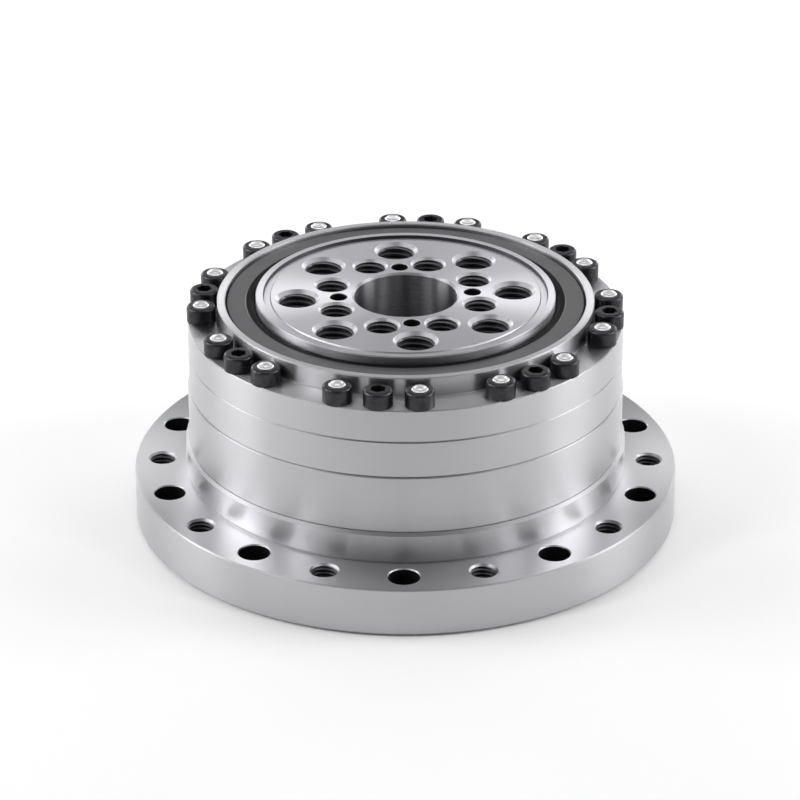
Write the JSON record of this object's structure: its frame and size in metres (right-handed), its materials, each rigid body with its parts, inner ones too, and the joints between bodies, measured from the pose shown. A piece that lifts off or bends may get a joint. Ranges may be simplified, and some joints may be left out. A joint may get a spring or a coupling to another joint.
{
  "type": "strain wave gear",
  "caption": "Flanged cup-type strain wave gear unit with a crossed roller output bearing, oval wave generator, sliding-key input coupling and tapped output flange.",
  "frame": {"origin": "centre of the mounting flange's underside, on the gear axis", "axes": "+Z along the gear axis towards the output flange; -Y is the front, where one flange clearance hole lies; the wave generator's long axis is along X at rest"},
  "size_m": [0.16, 0.16, 0.0687],
  "materials": {
    "case_steel": "bright turned steel",
    "output_steel": "fine turned hardened steel",
    "gear_steel": "satin spring steel",
    "bearing_steel": "ground bearing steel",
    "black_screw_steel": "black oxide",
    "bright_plug": "polished",
    "seal_rubber": "moulded nitrile rubber",
    "cage_plastic": "moulded nylon",
    "coupling_bronze": "bearing bronze"
  },
  "bodies": {
    "housing": {"circular_spline": "case_steel", "base_o_ring": "seal_rubber", "case_o_rings": "seal_rubber", "spacer_ring": "case_steel", "lower_outer_ring": "case_steel", "upper_outer_ring": "case_steel", "oil_seal": "seal_rubber", "seal_garter_spring": "bearing_steel", "case_screws_open": "black_screw_steel", "case_screws_plugged": "black_screw_steel", "screw_plugs": "bright_plug"},
    "output": {"output_flange": "output_steel", "flexspline": "gear_steel", "clamp_ring": "gear_steel", "clamp_bolts": "black_screw_steel", "dowel_pins": "bearing_steel"},
    "roller_set": {"rollers_left": "bearing_steel", "rollers_right": "bearing_steel", "roller_separators": "cage_plastic"},
    "wave_generator": {"wave_cam": "gear_steel", "wave_inner_race": "bearing_steel", "wave_outer_race": "bearing_steel", "wave_balls": "bearing_steel", "wave_cage": "cage_plastic"},
    "sliding_disc": {"coupling_disc": "coupling_bronze"},
    "input": {"input_hub": "gear_steel", "hub_washer": "coupling_bronze", "hub_snap_ring": "black_screw_steel", "hub_set_screws": "black_screw_steel"}
  },
  "joints": [
    {"name": "wave_generator_spin", "type": "hinge", "parent": "housing", "child": "wave_generator", "pos_m": [0, 0, 0.01145], "axis": [0, 0, 1], "continuous": true, "deforming": ["flexspline"]},
    {"name": "output_spin", "type": "hinge", "parent": "housing", "child": "output", "pos_m": [0, 0, 0.052], "axis": [0, 0, 1], "continuous": true},
    {"name": "roller_orbit", "type": "hinge", "parent": "housing", "child": "roller_set", "pos_m": [0, 0, 0.052], "axis": [0, 0, 1], "continuous": true},
    {"name": "coupling_disc_slide", "type": "slide", "parent": "wave_generator", "child": "sliding_disc", "axis": [1, 0, 0], "range_m": [-0.0004, 0.0004]},
    {"name": "input_hub_slide", "type": "slide", "parent": "sliding_disc", "child": "input", "axis": [0, 1, 0], "range_m": [-0.0004, 0.0004]}
  ],
  "couplings": [
    {"joint": "output_spin", "follows": "wave_generator_spin", "ratio": -0.02},
    {"joint": "roller_orbit", "follows": "wave_generator_spin", "ratio": -0.00956}
  ]
}
